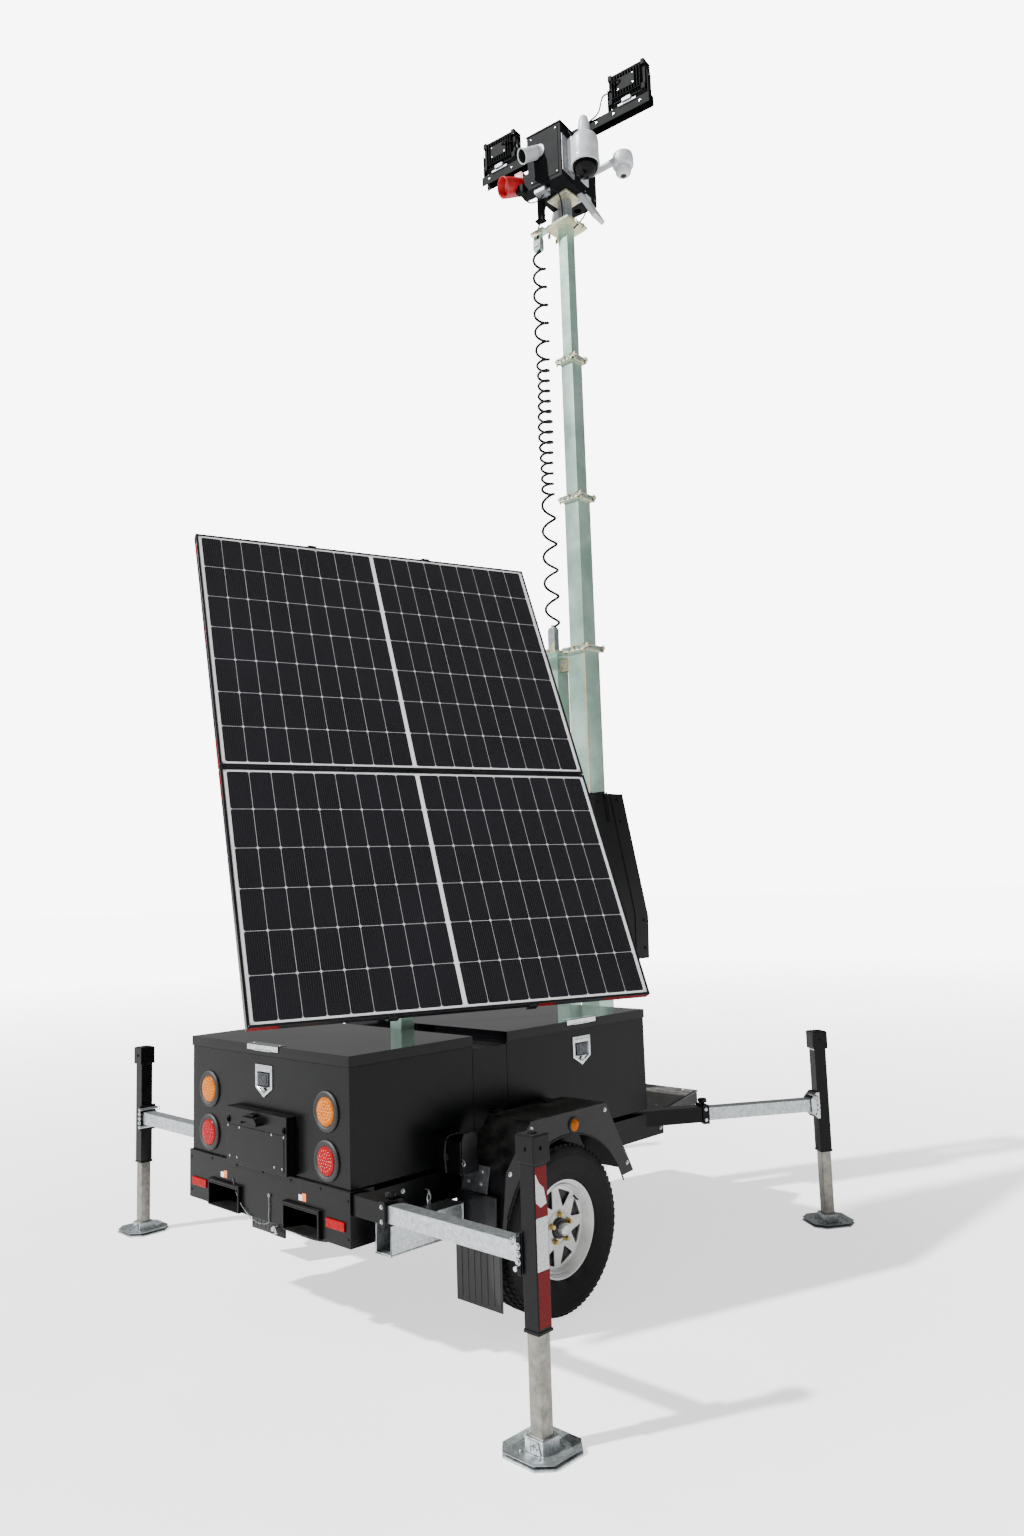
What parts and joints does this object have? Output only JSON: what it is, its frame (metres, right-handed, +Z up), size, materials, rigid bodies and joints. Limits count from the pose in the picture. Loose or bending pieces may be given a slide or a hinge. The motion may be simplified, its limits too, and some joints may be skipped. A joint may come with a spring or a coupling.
{
  "type": "mobile camera tower trailer",
  "caption": "Single-axle trailer with steel cabinets, slide-out levelling jacks, tilting solar array and a telescoping square mast that carries floodlights, cameras and a siren.",
  "frame": {"origin": "centre of the footprint, on the ground", "axes": "+Z up along the mast, +Y the towing direction, +X the trailer's right-hand side"},
  "size_m": [3.426, 3.2286, 6.635],
  "materials": {
    "black_enamel": "satin powder coat",
    "black_rubber": "matt moulded",
    "amber_lens": "clear moulded",
    "red_lens": "clear moulded",
    "stainless": "polished",
    "galvanised": "hot-dip galvanised",
    "pale_zinc": "passivated zinc",
    "panel_aluminium": "black anodised",
    "mill_aluminium": "mill finish",
    "solar_glass": "textured glass",
    "tyre": "matt rubber",
    "wheel_enamel": "white enamel",
    "battery_case": "moulded",
    "controller_case": "die cast",
    "lamp_casting": "black die casting",
    "white_plastic": "moulded",
    "dark_dome": "smoked",
    "siren_red": "moulded",
    "cord_black": "satin jacket"
  },
  "bodies": {
    "chassis": {"chassis_frame": "black_enamel", "bumper": "black_enamel", "fork_pockets": "black_enamel", "rear_cabinet": "black_enamel", "middle_cabinet": "black_enamel", "front_cabinet": "black_enamel", "plate_housing": "black_enamel", "lamp_grommets": "black_rubber", "amber_lamps": "amber_lens", "red_lamps": "red_lens", "fenders": "black_enamel", "mud_flaps": "black_rubber", "chock_holders": "black_enamel", "axle_beam": "black_enamel", "latch_dishes": "stainless", "battery_bank": "battery_case", "power_controller": "controller_case", "mast_section_1": "pale_zinc", "cable_column": "pale_zinc", "coil_cord": "cord_black", "winch_cover": "black_enamel", "panel_post": "pale_zinc"},
    "drawbar": {"drawbar": "galvanised"},
    "wheel_right": {"tyre_right": "tyre", "wheel_right": "wheel_enamel"},
    "wheel_left": {"tyre_left": "tyre", "wheel_left": "wheel_enamel"},
    "rear_lid": {"rear_lid": "black_enamel"},
    "front_lid": {"front_lid": "black_enamel"},
    "rear_latch": {"rear_latch": "stainless"},
    "front_latch": {"front_latch": "stainless"},
    "mast_2": {"mast_section_2": "pale_zinc"},
    "mast_3": {"mast_section_3": "pale_zinc"},
    "mast_head": {"mast_section_4": "pale_zinc", "head_box": "black_enamel", "lamp_bar": "black_enamel", "ptz_housing": "white_plastic", "bullet_camera": "white_plastic", "turret_camera": "white_plastic", "siren": "siren_red"},
    "floodlight_left": {"floodlight_left": "lamp_casting"},
    "floodlight_right": {"floodlight_right": "lamp_casting"},
    "ptz_dome": {"ptz_dome": "dark_dome"},
    "winch_drum": {"winch_drum": "galvanised"},
    "slew_head": {"slew_head": "pale_zinc"},
    "panel_array": {"panel_rails": "mill_aluminium", "panel_frames": "panel_aluminium", "panel_laminates": "solar_glass"},
    "arm_rear_right": {"outrigger_arm_rear_right": "galvanised", "jack_sleeve_rear_right": "black_enamel"},
    "leg_rear_right": {"jack_leg_rear_right": "galvanised"},
    "arm_rear_left": {"outrigger_arm_rear_left": "galvanised", "jack_sleeve_rear_left": "black_enamel"},
    "leg_rear_left": {"jack_leg_rear_left": "galvanised"},
    "arm_front_right": {"outrigger_arm_front_right": "galvanised", "jack_sleeve_front_right": "black_enamel"},
    "leg_front_right": {"jack_leg_front_right": "galvanised"},
    "arm_front_left": {"outrigger_arm_front_left": "galvanised", "jack_sleeve_front_left": "black_enamel"},
    "leg_front_left": {"jack_leg_front_left": "galvanised"}
  },
  "joints": [
    {"name": "wheel_right_spin", "type": "hinge", "parent": "chassis", "child": "wheel_right", "pos_m": [0.101, -0.29614, 0.344], "axis": [1, 0, 0], "continuous": true},
    {"name": "wheel_left_spin", "type": "hinge", "parent": "chassis", "child": "wheel_left", "pos_m": [0.101, -0.29614, 0.344], "axis": [1, 0, 0], "continuous": true},
    {"name": "drawbar_slide", "type": "slide", "parent": "chassis", "child": "drawbar", "axis": [0, 1, 0], "range_m": [0, 1]},
    {"name": "arm_slide_rear_right", "type": "slide", "parent": "chassis", "child": "arm_rear_right", "axis": [1, 0, 0], "range_m": [-0.64, 0]},
    {"name": "jack_lift_rear_right", "type": "slide", "parent": "arm_rear_right", "child": "leg_rear_right", "axis": [0, 0, 1], "range_m": [0, 0.3]},
    {"name": "arm_slide_rear_left", "type": "slide", "parent": "chassis", "child": "arm_rear_left", "axis": [-1, 0, 0], "range_m": [-0.84, 0]},
    {"name": "jack_lift_rear_left", "type": "slide", "parent": "arm_rear_left", "child": "leg_rear_left", "axis": [0, 0, 1], "range_m": [0, 0.3]},
    {"name": "arm_slide_front_right", "type": "slide", "parent": "chassis", "child": "arm_front_right", "axis": [0.5518, 0.834, 0], "range_m": [-0.5, 0]},
    {"name": "jack_lift_front_right", "type": "slide", "parent": "arm_front_right", "child": "leg_front_right", "axis": [0, 0, 1], "range_m": [0, 0.3]},
    {"name": "arm_slide_front_left", "type": "slide", "parent": "chassis", "child": "arm_front_left", "axis": [-0.5518, 0.834, 0], "range_m": [-0.5, 0]},
    {"name": "jack_lift_front_left", "type": "slide", "parent": "arm_front_left", "child": "leg_front_left", "axis": [0, 0, 1], "range_m": [0, 0.3]},
    {"name": "rear_lid_hinge", "type": "hinge", "parent": "chassis", "child": "rear_lid", "pos_m": [0.101, -0.52614, 1.106], "axis": [-1, 0, 0], "range_deg": [0, 24]},
    {"name": "front_lid_hinge", "type": "hinge", "parent": "chassis", "child": "front_lid", "pos_m": [-0.492, 0.16486, 1.106], "axis": [0, 1, 0], "range_deg": [-60, 0]},
    {"name": "rear_latch_paddle", "type": "hinge", "parent": "chassis", "child": "rear_latch", "pos_m": [0.101, -1.19644, 1.028], "axis": [-1, 0, 0], "range_deg": [0, 35], "stiffness_Nm_per_rad": 1, "springref_deg": -5.73},
    {"name": "front_latch_paddle", "type": "hinge", "parent": "chassis", "child": "front_latch", "pos_m": [0.6868, 0.17186, 1.028], "axis": [0, -1, 0], "range_deg": [0, 35], "stiffness_Nm_per_rad": 1, "springref_deg": -5.73},
    {"name": "mast_raise", "type": "slide", "parent": "chassis", "child": "mast_2", "axis": [0, 0, 1], "range_m": [-0.66, 0], "deforming": ["coil_cord"]},
    {"name": "mast_raise_middle", "type": "slide", "parent": "mast_2", "child": "mast_3", "axis": [0, 0, 1], "range_m": [-0.66, 0], "deforming": ["coil_cord"]},
    {"name": "mast_raise_top", "type": "slide", "parent": "mast_3", "child": "mast_head", "axis": [0, 0, 1], "range_m": [-0.66, 0], "deforming": ["coil_cord"]},
    {"name": "winch_turn", "type": "hinge", "parent": "chassis", "child": "winch_drum", "pos_m": [0.101, 1.18386, 1.56], "axis": [1, 0, 0], "range_deg": [-760, 0]},
    {"name": "panel_slew", "type": "hinge", "parent": "chassis", "child": "slew_head", "pos_m": [0.101, -0.43614, 2.1], "axis": [0, 0, 1], "range_deg": [-160, 160]},
    {"name": "panel_tilt", "type": "hinge", "parent": "slew_head", "child": "panel_array", "pos_m": [0.41721, -0.61791, 2.172], "axis": [0.3371, 0.9415, 0], "range_deg": [-44, 16]},
    {"name": "floodlight_left_tilt", "type": "hinge", "parent": "mast_head", "child": "floodlight_left", "pos_m": [-0.37146, 0.9526, 6.54], "axis": [0.9903, 0.1392, 0], "range_deg": [-90, 90]},
    {"name": "floodlight_right_tilt", "type": "hinge", "parent": "mast_head", "child": "floodlight_right", "pos_m": [0.56929, 1.08482, 6.54], "axis": [0.9903, 0.1392, 0], "range_deg": [-90, 90]},
    {"name": "ptz_pan", "type": "hinge", "parent": "mast_head", "child": "ptz_dome", "pos_m": [0.35533, 0.90429, 6.04], "axis": [0, 0, 1], "continuous": true}
  ],
  "couplings": [
    {"joint": "mast_raise_middle", "follows": "mast_raise", "ratio": 1},
    {"joint": "mast_raise_top", "follows": "mast_raise", "ratio": 1},
    {"joint": "winch_turn", "follows": "mast_raise", "rad_per_m": 20}
  ]
}
